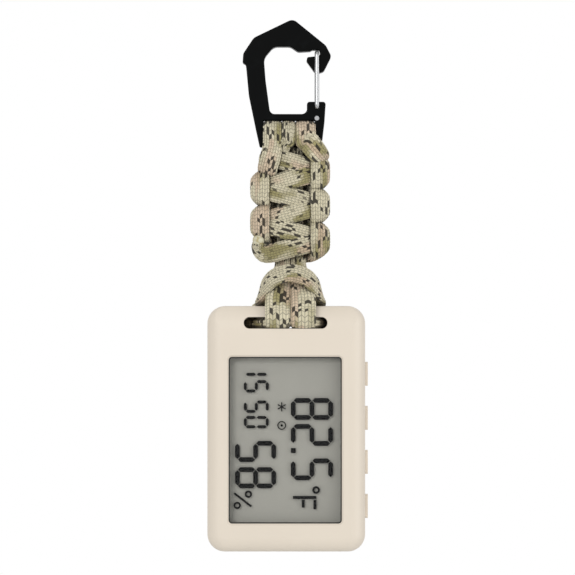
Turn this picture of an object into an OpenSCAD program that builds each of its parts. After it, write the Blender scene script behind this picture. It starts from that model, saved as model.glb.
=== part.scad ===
// Pocket weather meter: a thermometer and hygrometer with a segment display, hung from a
// small wire-gate carabiner by a braided cord. Millimetres. +Z up, -Y is the display side.
// The origin is the point inside the carabiner where a hook or a ring bears.

/* [Case] */
// Width of the case
case_w = 45; // [44:0.5:56]
// Height of the case
case_h = 70; // [69:0.5:90]
// Thickness of the case, front to back
case_t = 14; // [14:0.5:18]
// Radius of the case's four corners, seen from the front
corner_r = 5; // [4.4:0.1:5.6]
// Radius of the edges round the front and the back
edge_r = 4; // [2.5:0.1:4.2]
// Thickness of the moulded walls
wall = 1.8; // [1.5:0.1:2.2]

/* [Cord slot] */
// Width of the slot that the cord goes through
slot_w = 23.8; // [20:0.2:28]
// Height of the rail above the slot
rail_h = 3.1; // [2.6:0.1:3.8]

/* [Display] */
// Width of the opening for the display
window_w = 32.2; // [28:0.2:33]
// Height of the opening for the display
window_h = 47.4; // [40:0.2:48]
// Height of the plastic below the display
window_up = 8.2; // [7.8:0.1:9]

/* [Buttons] */
// Length of each side button
button_l = 6.8; // [5.6:0.1:8.2]
// Width of each side button, front to back
button_w = 4.2; // [3.4:0.1:4.6]
// How far the buttons stand out of the side
button_out = 0.8; // [0.6:0.1:1.2]
// Distance between neighbouring buttons
button_pitch = 12.6; // [11.5:0.1:12.8]
// Travel of a button
button_travel = 0.4; // [0.3:0.05:0.5]

/* [Coin cell] */
// Diameter of the coin cell
cell_d = 20; // [16:0.5:24.5]
// Thickness of the coin cell
cell_t = 3.2; // [2.5:0.1:3.4]

/* [Cord] */
// Width of the flattened cord
cord_w = 5.4; // [4.6:0.1:5.6]
// Thickness of the flattened cord
cord_t = 2.3; // [1.9:0.05:2.8]
// Width of the braided stretch
weave_w = 21.6; // [20:0.2:26]
// Length of one half-knot of the braided stretch
knot_pitch = 5.2; // [4.8:0.1:6.4]

/* [Carabiner] */
// Thickness of the carabiner's frame
clip_t = 4.4; // [3.6:0.1:5.4]
// Diameter of the gate's wire
wire_d = 1.3; // [1:0.05:1.4]

/* [Hidden] */
$fn = 48;
eps = 0.01;
gap = 0.15;
knots = 6;

// Carabiner, seen from the front: x, z and corner radius
eye_bottom = -19.1;
crossbar_h = 1.5;
strap_top = eye_bottom - crossbar_h;
strap_x = [-6.6, 8.3];
clip_outline = [
    [1.9, 8.1, 2.2], [11.3, 0.5, 2.4], [12.9, -2.6, 1.6], [10.7, -7.0, 1.3],
    [8.4, -7.7, 1.2], [5.75, -4.0, 0.5], [6.0, -2.85, 0.3], [9.6, -2.5, 0.6],
    [9.6, -0.85, 0.6], [7.4, -0.85, 0.5], [6.8, -1.2, 0.5], [3.3, -1.4, 1.6],
    [1.2, 0.1, 2.4], [-3.6, 0.1, 2.6], [-6.4, -3.2, 3.2], [-5.9, -9.5, 8],
    [-4.6, eye_bottom, 1.5], [5.9, eye_bottom, 1.5], [5.9, -15.6, 0.8], [11.3, -15.6, 0.8],
    [10.9, -21.6, 6], [10.1, -28.4, 1], [strap_x[1], -28.6, 0.5], [strap_x[1], strap_top, 0.4],
    [strap_x[0], strap_top, 0.4], [strap_x[0], -28.6, 0.4], [-7.6, -28.6, 0.5], [-8.7, -23.6, 8],
    [-10.7, -13.9, 12], [-11.4, -6.4, 1.6], [-11.6, -4.9, 0.5], [-12.5, -4.6, 0.5],
    [-12.3, -1.8, 2], [-9.3, 2.7, 3]
];
bar_r = clip_t / 2 + 0.1;
bar_z = strap_top - cord_t - bar_r - 2 * gap;
wire_r = wire_d / 2;
gate_x = 8.75;
gate_z = -17.2;
gate_top = -1.05 - wire_r;
tail_z = gate_z - 3.1;
leg_y = clip_t / 2 + gap + wire_r;
bend_r = gap + wire_r;

// Cord
weave_x = 0.9;
weave_t = 2 * cord_t + 3.8;
weave_top = bar_z - bar_r - 2.4;
weave_bottom = weave_top - knots * knot_pitch;
core_r = 1.6;
core_x = [weave_x - 1.8, weave_x + 2.2];
bead_r = cord_t / 2;
neck_z = weave_bottom - bead_r - gap;
hitch_h = 11.25;
ear_r = knot_pitch / 2;
end_r = 1.5;
end_x = weave_w / 2 - 2;
end_z = weave_bottom + 6;
loop_x = [[-6.5, -1.3], [-1.0, 1.6], [2.0, 2.0 + cord_w + 0.8]];

// Case, from the rail down
top_z = neck_z - hitch_h;
bottom_z = top_z - case_h;
mid_y = case_t / 2;
slot_h = cord_t + 1;
slot_x = -0.2;
slot_top = top_z - rail_h;
slot_bottom = slot_top - slot_h;
crown_r = 8.5;
crown_z = top_z - 6.5;
hitch_x = 1.2;
wrap_x = [hitch_x - 0.2 - cord_w - 1.4, hitch_x + 0.2];
wrap_w = cord_w + 1.4;
bight_w = 3.2;
bight_r = wrap_w + 0.2 + bight_w / 2;
bight_y = 5.3;
bight_leg = 5.6;
bight_lean = 54;
cavity_top = slot_bottom - 1.6;
cavity_bottom = bottom_z + wall;
side_x = case_w / 2;

// Display, front to back
window_x = -0.3;
window_z = bottom_z + window_up + window_h / 2;
lip_t = 0.8;
lip_chamfer = 0.45;
gasket_t = 0.3;
lens_t = 1.0;
glass_t = 0.7;
segment_t = 0.1;
film_t = 0.2;
board_t = 1.0;
pocket_rim = 1.0;
glass_rim = 0.9;
gasket_y = -mid_y + lip_t;
lens_y = gasket_y + gasket_t;
glass_y = lens_y + lens_t + 0.1;
segment_y = glass_y + glass_t;
rear_glass_y = segment_y + segment_t;
film_y = rear_glass_y + glass_t;
holder_wall = 0.8;
holder_y = lens_y + lens_t;
board_y = film_y + film_t + 1.3;
board_back = board_y + board_t;
frame_rim = glass_rim + holder_wall;
board_left = window_x - window_w / 2 - frame_rim;
board_low = window_z - window_h / 2 - frame_rim;

// Readout: it reads downwards, and its digits stand towards +X
stroke = 1.35;
big_h = 12;
big_w = 6.2;
big_pitch = 7.4;
big_x = window_x + 1.6;
big_z = window_z + 11.9;
degree_at = [26.2, 7.2];
letter_at = [27.9, 0.6];
letter_bar = 0.85;
letter_h = 6.7;
rh_h = 11.7;
rh_w = 6;
rh_x = window_x - 14.3;
rh_z = window_z - 0.3;
clock_h = 7.1;
clock_w = 3.5;
clock_stroke = 0.85;
clock_x = window_x - 11.8;
clock_z = window_z + 19.2;
clock_at = [0.95, 2.2, 8, 12.4];
ONE = [1, 2];
TWO = [0, 1, 6, 4, 3];
FIVE = [0, 5, 6, 2, 3];
EIGHT = [0, 1, 2, 3, 4, 5, 6];
ZERO = [0, 1, 2, 3, 4, 5];

// Back of the case
cell_r = cell_d / 2;
door_x = 0;
door_z = bottom_z + cell_r + 13.5;
door_t = 1.4;
skirt_r = cell_r + 1.5;
lug_r = skirt_r + 0.6;
door_r = lug_r + 0.3;
door_in = mid_y - door_t;
cell_back = door_in - 0.7;
cell_y = cell_back - cell_t;
well_r = cell_r + 0.4;
ledge_t = 0.7;
lug_t = 0.8;
lug_y = door_in - ledge_t - gap - lug_t;
seal_t = 0.3;
screw_x = side_x - 4.4;
post_r = 1.95;
screw_z = [board_low - 0.25 - post_r, cavity_top - 1.9];
screw_r = 0.9;
head_r = 1.7;
head_t = 1.1;
head_y = mid_y - 2;
vent_z = cavity_top - 9.5;
vent_w = 8;
vent_h = 0.8;
vent_pitch = 1.7;
membrane_t = 0.3;
membrane_h = 8.8;
sensor_w = 3;

// Buttons and their switches
button_y = 0.3;
button_z = [for (i = [0:3]) bottom_z + 12.8 + i * button_pitch];
wall_x = side_x - wall;
flange_t = 0.6;
stem_r = 0.7;
switch_x = wall_x - flange_t - button_travel - 0.3;
switch_w = 3.2;
switch_l = 4.4;
plunger_hole = button_travel + 0.5;

// The board reaches past the sensor and under the switches
board_top = max(window_z + window_h / 2 + frame_rim, vent_z + 4.8);
board_right = max(window_x + window_w / 2 + frame_rim, switch_x - switch_w + 1.3);

function unit(v) = v / norm(v);
function flat(p) = [p[0], p[1]];
// Points of the arc of radius r that rounds the corner p between a and b
function fillet(a, p, b, r) =
    let (
        u = unit(a - p),
        v = unit(b - p),
        half = acos(u * v) / 2,
        c = p + unit(u + v) * r / sin(half),
        s = p + u * r / tan(half) - c,
        e = p + v * r / tan(half) - c,
        a0 = atan2(s[1], s[0]),
        turn = (atan2(e[1], e[0]) - a0 + 540) % 360 - 180,
        n = max(1, ceil(abs(turn) / 14))
    )
    [for (i = [0:n]) c + r * [cos(a0 + turn * i / n), sin(a0 + turn * i / n)]];
function rounded(p) =
    [for (i = [0:len(p) - 1])
        each fillet(flat(p[(i + len(p) - 1) % len(p)]), flat(p[i]), flat(p[(i + 1) % len(p)]), p[i][2])];

// A 2D shape in x and z, made solid between two values of y
module along_y(y0, y1) {
    translate([0, y1, 0])
        rotate([90, 0, 0])
            linear_extrude(y1 - y0)
                children();
}

// A 2D shape in y and z, made solid between two values of x
module along_x(x0, x1) {
    translate([x0, 0, 0])
        rotate([90, 0, 90])
            linear_extrude(x1 - x0)
                children();
}

module box(lo, hi) {
    translate(lo)
        cube(hi - lo);
}

// A rectangle about a centre, with true arcs at its corners
module round_rect(x, z, w, h, r) {
    translate([x, z]) {
        square([w - 2 * r, h], center = true);
        square([w, h - 2 * r], center = true);
        for (sx = [-1, 1])
            for (sz = [-1, 1])
                translate([sx * (w / 2 - r), sz * (h / 2 - r)])
                    circle(r);
    }
}

// A round bar along y
module pin(x, z, r, y0, y1) {
    translate([x, y0, z])
        rotate([-90, 0, 0])
            cylinder(r = r, h = y1 - y0);
}

module wire_bend(turn, r) {
    rotate(turn)
        rotate_extrude(angle = 90)
            translate([r, 0])
                circle(wire_r, $fn = 24);
}

module carabiner_frame() {
    color("#15181a")
        difference() {
            union() {
                along_y(-clip_t / 2, clip_t / 2)
                    polygon(rounded(clip_outline));
                translate([strap_x[0] - 0.8, 0, bar_z])
                    rotate([0, 90, 0])
                        cylinder(r = bar_r, h = strap_x[1] - strap_x[0] + 1.6);
            }
            pin(gate_x, gate_z, wire_r + 0.05, -clip_t, 0.8);
            pin(gate_x, tail_z, wire_r + 0.05, -clip_t, clip_t);
        }
}

// Front leg, crossbar and the rear leg down to the height of the front leg's hole
module gate_wire() {
    color("#b9bbbd") {
        pin(gate_x, gate_z, wire_r, bend_r - leg_y, 0.6);
        translate([gate_x, bend_r - leg_y, gate_z + bend_r])
            wire_bend([90, 180, 90], bend_r);
        translate([gate_x, -leg_y, gate_z + bend_r])
            cylinder(r = wire_r, h = gate_top - gate_z - 2 * bend_r);
        translate([gate_x, bend_r - leg_y, gate_top - bend_r])
            wire_bend([90, 270, 90], bend_r);
        pin(gate_x, gate_top, wire_r, bend_r - leg_y, leg_y - bend_r);
        translate([gate_x, leg_y - bend_r, gate_top - bend_r])
            wire_bend([90, 0, 90], bend_r);
        translate([gate_x, leg_y, gate_z])
            cylinder(r = wire_r, h = gate_top - gate_z - bend_r);
        translate([gate_x, leg_y, gate_z])
            sphere(wire_r);
    }
}

// The end of the rear leg: it stays still while the gate turns
module gate_wire_tail() {
    low = gate_z - wire_r - gap;
    color("#b9bbbd") {
        translate([gate_x, leg_y, tail_z + bend_r])
            cylinder(r = wire_r, h = low - tail_z - bend_r);
        translate([gate_x, leg_y - bend_r, tail_z + bend_r])
            wire_bend([90, 90, 90], bend_r);
        pin(gate_x, tail_z, wire_r, -clip_t / 2 - 0.1, leg_y - bend_r);
    }
}

// A strip of cord bent over the carabiner's bar, seen from the side
module bar_strip() {
    inner = bar_r + gap;
    outer = inner + cord_t;
    difference() {
        union() {
            translate([0, bar_z])
                circle(outer);
            translate([-outer, weave_top])
                square([2 * outer, bar_z - weave_top]);
        }
        translate([0, bar_z])
            circle(inner);
        translate([-inner, weave_top - 1])
            square([2 * inner, bar_z - weave_top + 1]);
    }
}

module bar_loops() {
    color("#c9bd93")
        for (x = loop_x)
            along_x(x[0], x[1])
                bar_strip();
}

// Six half-knots, each with a round ear on both sides
module weave_front() {
    for (i = [0:knots - 1])
        round_rect(weave_x, weave_top - (i + 0.5) * knot_pitch,
            weave_w - (i % 2) * 0.8, knot_pitch, ear_r - 0.05);
    translate([weave_x - weave_w / 2 + ear_r, weave_bottom + 1])
        square([weave_w - 2 * ear_r, weave_top - weave_bottom - 2]);
}

module weave_side() {
    half = weave_t / 2;
    translate([-half, weave_bottom + half])
        square([weave_t, weave_top - weave_bottom - half]);
    translate([0, weave_bottom + half])
        circle(half);
}

module cobra_weave() {
    color("#c9bd93")
        difference() {
            intersection() {
                along_y(-weave_t, weave_t)
                    weave_front();
                along_x(weave_x - weave_w, weave_x + weave_w)
                    weave_side();
            }
            for (x = core_x)
                translate([x, 0, weave_bottom - 1])
                    cylinder(r = core_r, h = weave_top - weave_bottom + 2);
            for (side = [-1, 1])
                pin(weave_x + side * end_x, end_z, end_r, -weave_t, 0);
        }
}

// Two strands that carry the load through the knots
module core_cord() {
    low = neck_z + bead_r + gap;
    color("#c9bd93")
        for (x = core_x)
            translate([x, 0, low])
                cylinder(r = core_r, h = weave_top - low);
}

// The melted ends of the braiding strands, tucked into the last knot
module cord_ends() {
    color("#d8d2b4")
        for (side = [-1, 1])
            pin(weave_x + side * end_x, end_z, end_r, -weave_t / 2 - 0.2, 0);
}

// The case's outline seen from the side, over the front half, up to the crown
module rail_side(grow) {
    arc_y = crown_r - mid_y;
    intersection() {
        translate([arc_y, crown_z])
            circle(crown_r + grow, $fn = 96);
        translate([-arc_y, crown_z])
            circle(crown_r + grow, $fn = 96);
    }
}

// Two wraps of the cord round the rail
module hitch_wraps() {
    color("#c9bd93")
        for (x = wrap_x)
            along_x(x, x + wrap_w)
                difference() {
                    intersection() {
                        rail_side(cord_t);
                        translate([-2 * mid_y, slot_top - cord_t])
                            square([4 * mid_y, rail_h + 2 * cord_t]);
                    }
                    intersection() {
                        rail_side(0);
                        translate([-2 * mid_y, slot_top])
                            square([4 * mid_y, rail_h]);
                    }
                }
}

// The two standing parts, from the neck down to the wraps
module hitch_legs() {
    top = top_z + cord_t;
    neck_x = [core_x[0] - core_r, core_x[1] - core_r + 0.1];
    neck_w = 2 * core_r + 0.2;
    neck_y = 0.8;
    back = -0.3;
    color("#c9bd93")
        for (i = [0, 1]) {
            translate([neck_x[i], 0, neck_z])
                rotate([0, 90, 0])
                    cylinder(r = bead_r, h = neck_w);
            hull() {
                box([neck_x[i] + eps, -neck_y, neck_z - 0.6], [neck_x[i] + neck_w - eps, neck_y, neck_z]);
                box([wrap_x[i] + 0.4, back - cord_t, top], [wrap_x[i] + wrap_w - 0.4, back, top + 0.3]);
            }
        }
}

// The bight: it lies over the standing parts and goes down behind the rail
module hitch_bight() {
    color("#c9bd93")
        translate([hitch_x, bight_y, top_z + 0.9])
            rotate([bight_lean, 0, 0]) {
                translate([0, 0, bight_leg])
                    rotate([90, 0, 0])
                        rotate_extrude(angle = 180)
                            translate([bight_r, 0])
                                bight_section();
                for (side = [-1, 1])
                    translate([side * bight_r, 0, 0])
                        linear_extrude(bight_leg + eps)
                            bight_section();
            }
}

module bight_section() {
    round_rect(0, 0, bight_w, cord_t, cord_t / 2 - 0.05);
}

// Half of the case's solid form: the front half, with its edge rounded
module half_edge(w) {
    inner = w / 2 - edge_r;
    translate([-w / 2, 0])
        square([w, mid_y - edge_r]);
    translate([-inner, 0])
        square([2 * inner, mid_y]);
    for (side = [-1, 1])
        intersection() {
            translate([side * inner, mid_y - edge_r])
                circle(edge_r);
            translate([side < 0 ? -w / 2 : inner, mid_y - edge_r])
                square([edge_r, edge_r]);
        }
}

module corner_puck() {
    rotate([90, 0, 0])
        rotate_extrude()
            intersection() {
                half_edge(2 * corner_r);
                square([2 * corner_r, mid_y]);
            }
}

module half_form() {
    intersection() {
        union() {
            translate([0, 0, bottom_z + corner_r])
                linear_extrude(case_h - 2 * corner_r)
                    mirror([0, 1])
                        half_edge(case_w);
            translate([0, 0, (top_z + bottom_z) / 2])
                rotate([0, -90, 0])
                    translate([0, 0, -side_x + corner_r])
                        linear_extrude(case_w - 2 * corner_r)
                            mirror([0, 1])
                                half_edge(case_h);
            for (sx = [-1, 1])
                for (z = [bottom_z + corner_r, top_z - corner_r])
                    translate([sx * (side_x - corner_r), 0, z])
                        corner_puck();
        }
        along_x(-case_w, case_w) {
            rail_side(0);
            translate([-case_t, bottom_z - 1])
                square([2 * case_t, crown_z - bottom_z + 1]);
        }
    }
}

module slot_cut() {
    along_y(-case_t, case_t)
        round_rect(slot_x, (slot_top + slot_bottom) / 2, slot_w, slot_h, slot_h / 2 - 0.05);
}

module cavity(y0, y1) {
    along_y(y0, y1)
        round_rect(0, (cavity_top + cavity_bottom) / 2,
            case_w - 2 * wall, cavity_top - cavity_bottom, corner_r - wall);
}

module button_holes() {
    for (z = button_z)
        along_x(wall_x - 1, side_x + 2)
            round_rect(button_y, z, button_w + 2 * gap, button_l + 2 * gap, 1.1);
}

module posts(r, y0, y1) {
    for (sx = [-1, 1])
        for (z = screw_z)
            pin(sx * screw_x, z, r, y0, y1);
}

module front_shell() {
    color("#e6daca")
        difference() {
            union() {
                difference() {
                    half_form();
                    cavity(wall - mid_y, 1);
                    button_holes();
                    slot_cut();
                }
                posts(post_r, wall - mid_y - eps, 0);
            }
            posts(screw_r + 0.02, wall - mid_y + 0.5, 1);
            along_y(-case_t, 0)
                round_rect(window_x, window_z, window_w, window_h, 1);
            hull() {
                along_y(-mid_y - eps, -mid_y)
                    round_rect(window_x, window_z, window_w + 2 * lip_chamfer,
                        window_h + 2 * lip_chamfer, 1 + lip_chamfer);
                along_y(-mid_y + lip_chamfer, -mid_y + lip_chamfer + eps)
                    round_rect(window_x, window_z, window_w, window_h, 1);
            }
            along_y(gasket_y, 0)
                round_rect(window_x, window_z,
                    window_w + 2 * pocket_rim, window_h + 2 * pocket_rim, 0.6);
        }
}

// The sleeve in which the coin cell sits and the door turns
module battery_well() {
    pin(door_x, door_z, door_r + 1.1, board_back + 1.4, mid_y - 1);
}

module door_cuts() {
    pin(door_x, door_z, door_r + gap, door_in, case_t);
    pin(door_x, door_z, skirt_r + gap, door_in - ledge_t - 1, case_t);
    pin(door_x, door_z, well_r, -case_t, case_t);
    pin(door_x, door_z, lug_r + gap, lug_y - gap, door_in - ledge_t);
    for (i = [0:2])
        intersection() {
            pin(door_x, door_z, lug_r + gap, lug_y - gap, case_t);
            translate([door_x, 0, door_z])
                rotate([0, 120 * i + 105, 0])
                    box([0, 0, -3.4], [2 * door_r, case_t, 3.4]);
        }
}

module seal_groove(play) {
    difference() {
        pin(door_x, door_z, door_r - 0.1 + play, door_in - seal_t - play, door_in);
        pin(door_x, door_z, skirt_r + gap + 0.15 - play, door_in - 1, door_in + 1);
    }
}

module back_shell() {
    color("#e6daca")
        difference() {
            union() {
                difference() {
                    mirror([0, 1, 0])
                        half_form();
                    cavity(-1, mid_y - wall);
                    button_holes();
                    slot_cut();
                }
                posts(post_r, 0, mid_y - wall + eps);
                battery_well();
            }
            door_cuts();
            seal_groove(0);
            posts(screw_r + gap, -1, case_t);
            posts(head_r + gap, head_y, case_t);
            box([door_x - 2.2, board_back + 1, door_z + cell_r - 1],
                [door_x + 2.2, cell_back - 0.5, door_z + well_r + 1.4]);
            for (i = [-2:2])
                along_y(0, case_t)
                    round_rect(0, vent_z + i * vent_pitch, vent_w, vent_h, vent_h / 2 - 0.02);
        }
}

// Four self-tapping screws, put in from the back
module case_screws() {
    color("#8d9094")
        for (sx = [-1, 1])
            for (z = screw_z)
                difference() {
                    union() {
                        pin(sx * screw_x, z, screw_r, wall - mid_y + 1, head_y + 0.2);
                        pin(sx * screw_x, z, head_r, head_y, head_y + head_t);
                    }
                    for (turn = [0, 90])
                        translate([sx * screw_x, head_y + head_t, z])
                            rotate([0, turn, 0])
                                cube([2.2, 1, 0.4], center = true);
                }
}

module window_gasket() {
    rim = pocket_rim - 0.05;
    color("#26262a")
        difference() {
            along_y(gasket_y, lens_y)
                round_rect(window_x, window_z, window_w + 2 * rim, window_h + 2 * rim, 0.6);
            along_y(-case_t, case_t)
                round_rect(window_x, window_z, window_w - 0.7, window_h - 0.7, 0.7);
        }
}

module display_window() {
    rim = pocket_rim - 0.05;
    color("#dfe6e6", 0.3)
        along_y(lens_y, lens_y + lens_t)
            round_rect(window_x, window_z, window_w + 2 * rim, window_h + 2 * rim, 0.6);
}

module glass_plate(y0, y1) {
    half_w = window_w / 2 + glass_rim;
    half_h = window_h / 2 + glass_rim;
    box([window_x - half_w, y0, window_z - half_h], [window_x + half_w, y1, window_z + half_h]);
}

module lcd_front_glass() {
    color("#ccd2cc", 0.3)
        glass_plate(glass_y, segment_y);
}

module lcd_rear_glass() {
    color("#ccd2cc", 0.3)
        glass_plate(rear_glass_y, film_y);
}

module lcd_reflector() {
    color("#94948c")
        glass_plate(film_y, film_y + film_t);
}

// One bar of a digit, with pointed ends, along the reading direction or across it
module bar(length, width, upright) {
    half = length / 2;
    tip = width / 2;
    rotate(upright ? 90 : 0)
        polygon([[-half, 0], [tip - half, tip], [half - tip, tip],
            [half, 0], [half - tip, -tip], [tip - half, -tip]]);
}

// A seven-bar digit with its foot at the origin
module digit(w, h, s, lit) {
    mid = h / 2;
    run = w - s - 0.3;
    rise = mid - s / 2 - 0.3;
    places = [
        [w / 2, h - s / 2, false], [w - s / 2, mid + rise / 2 + 0.15, true],
        [w - s / 2, mid - rise / 2 - 0.15, true], [w / 2, s / 2, false],
        [s / 2, mid - rise / 2 - 0.15, true], [s / 2, mid + rise / 2 + 0.15, true],
        [w / 2, mid, false]
    ];
    for (k = lit)
        translate([places[k][0], places[k][1]])
            bar(places[k][2] ? rise : run, s, places[k][2]);
}

// Turns a shape that reads along +X into one that reads downwards
module reading(x, z) {
    translate([x, z])
        rotate(-90)
            children();
}

module temperature_digits() {
    reading(big_x, big_z) {
        digit(big_w, big_h, stroke, EIGHT);
        translate([big_pitch, 0])
            digit(big_w, big_h, stroke, TWO);
        translate([2 * big_pitch - 0.55, 0])
            square([1.4, 1.4]);
        translate([2 * big_pitch + 2.4, 0])
            digit(big_w, big_h, stroke, FIVE);
        translate(degree_at)
            difference() {
                circle(1.1);
                circle(0.5);
            }
        translate(letter_at) {
            square([letter_bar, letter_h]);
            translate([letter_bar + 0.25, letter_h - letter_bar])
                square([2.7, letter_bar]);
            translate([letter_bar + 0.25, 2.5])
                square([2.2, letter_bar]);
        }
    }
}

module humidity_digits() {
    reading(rh_x, rh_z) {
        digit(rh_w, rh_h, stroke, FIVE);
        translate([rh_w + 1.5, 0])
            digit(rh_w, rh_h, stroke, EIGHT);
        translate([2 * rh_w + 2.2, -0.6]) {
            for (p = [[1, 4.4], [4.2, 1.2]])
                translate(p)
                    difference() {
                        circle(1.05);
                        circle(0.5);
                    }
            translate([2.6, 2.8])
                rotate(-38)
                    square([0.6, 6.2], center = true);
        }
    }
}

module clock_digits() {
    reading(clock_x, clock_z) {
        shown = [ONE, FIVE, FIVE, ZERO];
        for (i = [0:3])
            translate([clock_at[i] - (i == 0 ? clock_w : 0), 0])
                digit(clock_w, clock_h, clock_stroke, shown[i]);
    }
}

// A star mark and a dial mark between the two rows
module small_marks() {
    reading(window_x - 2, window_z + 11) {
        translate([1.6, 1])
            for (turn = [0, 60, 120])
                rotate(turn)
                    square([2.6, 0.32], center = true);
        translate([6.9, 1]) {
            difference() {
                circle(1.25);
                circle(0.95);
            }
            circle(0.35);
        }
    }
}

module lcd_segments() {
    color("#17171a")
        along_y(segment_y, segment_y + segment_t) {
            temperature_digits();
            humidity_digits();
            clock_digits();
            small_marks();
        }
}

// White frame that centres the glass and carries the board behind it
module display_holder() {
    half_w = window_w / 2 + glass_rim;
    half_h = window_h / 2 + glass_rim;
    x0 = window_x - half_w;
    x1 = window_x + half_w;
    z0 = window_z - half_h;
    z1 = window_z + half_h;
    back = film_y + film_t;
    color("#eceae4")
        difference() {
            box([x0 - holder_wall, holder_y, z0 - holder_wall],
                [x1 + holder_wall, board_y, z1 + holder_wall]);
            box([x0 - 0.05, holder_y - 1, z0 - 0.05], [x1 + 0.05, back, z1 + 0.05]);
            box([x0 + 2.5, back - 1, z0 + 4.5], [x1 - 2.5, board_y + 1, z1 - 4.5]);
            for (z = [z0 + 1, z1 - 3])
                box([x0 + 2, back - 1, z], [x1 - 2, board_y + 1, z + 2]);
        }
}

// Conductive rubber strips between the glass and the board
module zebra_strips() {
    half_w = window_w / 2 + glass_rim;
    half_h = window_h / 2 + glass_rim;
    color("#5b5d66")
        for (z = [window_z - half_h + 1.2, window_z + half_h - 2.8])
            box([window_x - half_w + 2.2, film_y + film_t, z],
                [window_x + half_w - 2.2, board_y, z + 1.6]);
}

module circuit_board() {
    inset = 2.2;
    color("#1f5b3a")
        difference() {
            box([board_left, board_y, board_low], [board_right, board_back, board_top]);
            for (z = [board_low + inset, board_top - inset])
                pin(board_left + inset, z, 0.8, -case_t, case_t);
        }
}

module board_parts() {
    left = window_x - window_w / 2;
    top = window_z + window_h / 2;
    color("#2c2c2f") {
        box([left + 1, board_back, top - 9], [left + 8, board_back + 1, top - 2]);
        box([left + 10, board_back, top - 4], [left + 12, board_back + 0.6, top - 3]);
        box([left + 10, board_back, top - 7], [left + 12, board_back + 0.6, top - 6]);
        box([left + 22, board_back, top - 6], [left + 26, board_back + 1.1, top - 3]);
        box([left + 1, board_back, top - 14], [left + 3, board_back + 0.8, top - 11]);
    }
}

// Sealed-edge sensor chip behind the vents
module humidity_sensor() {
    color("#f2f2ee")
        difference() {
            box([-sensor_w / 2, board_back, vent_z - sensor_w / 2],
                [sensor_w / 2, board_back + 1, vent_z + sensor_w / 2]);
            pin(0, vent_z, 0.6, board_back + 0.6, case_t);
        }
}

module vent_membrane() {
    color("#3a3b3e")
        box([-vent_w / 2 - 0.6, mid_y - wall - membrane_t, vent_z - membrane_h / 2],
            [vent_w / 2 + 0.6, mid_y - wall, vent_z + membrane_h / 2]);
}

module side_switches() {
    color("#3b3d40")
        for (z = button_z)
            difference() {
                box([switch_x - switch_w, board_back, z - switch_l / 2],
                    [switch_x, button_y + 1.5, z + switch_l / 2]);
                translate([switch_x - plunger_hole, button_y, z])
                    rotate([0, 90, 0])
                        cylinder(r = stem_r + gap, h = plunger_hole + 1);
            }
}

// A side button: cap, flange behind the wall, and the stem that works its switch
module button_at(i) {
    tip = switch_x - 0.3;
    flange_x = wall_x - flange_t - 0.05;
    color("#e6daca") {
        along_x(flange_x + flange_t - eps, side_x + button_out)
            round_rect(button_y, button_z[i], button_w, button_l, 1);
        along_x(flange_x, flange_x + flange_t)
            round_rect(button_y, button_z[i], button_w + 1.2, button_l + 1.2, 1);
        translate([tip, button_y, button_z[i]])
            rotate([0, 90, 0])
                cylinder(r = stem_r, h = flange_x - tip + eps);
    }
}

module button_1() {
    button_at(3);
}

module button_2() {
    button_at(2);
}

module button_3() {
    button_at(1);
}

module button_4() {
    button_at(0);
}

module coin_cell() {
    color("#c4c6c8") {
        pin(door_x, door_z, cell_r, cell_y + 0.6, cell_back);
        pin(door_x, door_z, cell_r - 1.1, cell_y, cell_y + 0.6 + eps);
    }
}

// Sprung leaf under the cell
module cell_contact_minus() {
    color("#c9a24a") {
        box([door_x - 3, board_back, door_z - 5], [door_x + 3, board_back + 0.3, door_z + 5]);
        box([door_x - 1.5, board_back + 0.3, door_z - 4.5], [door_x + 1.5, cell_y, door_z - 3.8]);
        box([door_x - 1.5, cell_y - 0.3, door_z - 4.5], [door_x + 1.5, cell_y, door_z + 3]);
    }
}

// Upright tab against the cell's rim
module cell_contact_plus() {
    rim_z = door_z + cell_r + 0.05;
    color("#c9a24a") {
        box([door_x - 1.8, board_back, rim_z], [door_x + 1.8, board_back + 0.3, rim_z + 3]);
        box([door_x - 1.5, board_back, rim_z], [door_x + 1.5, cell_back - 1, rim_z + 0.3]);
    }
}

// Coin-slot door with three bayonet lugs
module battery_door() {
    color("#e0d4c4")
        difference() {
            union() {
                pin(door_x, door_z, door_r, door_in + 0.02, mid_y);
                difference() {
                    pin(door_x, door_z, skirt_r, lug_y, door_in + 0.1);
                    pin(door_x, door_z, skirt_r - 0.9, lug_y - 1, door_in + 0.02);
                }
                pin(door_x, door_z, 5, cell_back + 0.1, door_in + 0.1);
                for (i = [0:2])
                    intersection() {
                        difference() {
                            pin(door_x, door_z, lug_r, lug_y, lug_y + lug_t);
                            pin(door_x, door_z, skirt_r - 0.5, lug_y - 1, case_t);
                        }
                        translate([door_x, 0, door_z])
                            rotate([0, 120 * i + 50, 0])
                                box([0, -case_t, -3], [2 * door_r, case_t, 3]);
                    }
            }
            along_y(mid_y - 0.8, case_t)
                round_rect(door_x, door_z, cell_r * 1.5, 1.8, 0.85);
        }
}

module door_seal() {
    color("#2a2a2c")
        seal_groove(0);
}

carabiner_frame();
gate_wire();
gate_wire_tail();
bar_loops();
cobra_weave();
core_cord();
cord_ends();
hitch_legs();
hitch_wraps();
hitch_bight();
front_shell();
back_shell();
case_screws();
window_gasket();
display_window();
lcd_front_glass();
lcd_segments();
lcd_rear_glass();
lcd_reflector();
display_holder();
zebra_strips();
circuit_board();
board_parts();
humidity_sensor();
vent_membrane();
side_switches();
button_1();
button_2();
button_3();
button_4();
coin_cell();
cell_contact_minus();
cell_contact_plus();
battery_door();
door_seal();
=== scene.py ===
"""Looks of a pocket weather meter that hangs from a wire-gate carabiner by a braided cord.

Every object is in metres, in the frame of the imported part: the origin is the point inside the
carabiner where a hook bears, +Z is up and -Y is the display side. Inside the functions lengths
are millimetres, and become metres where a mesh is made.
"""
import math

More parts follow.
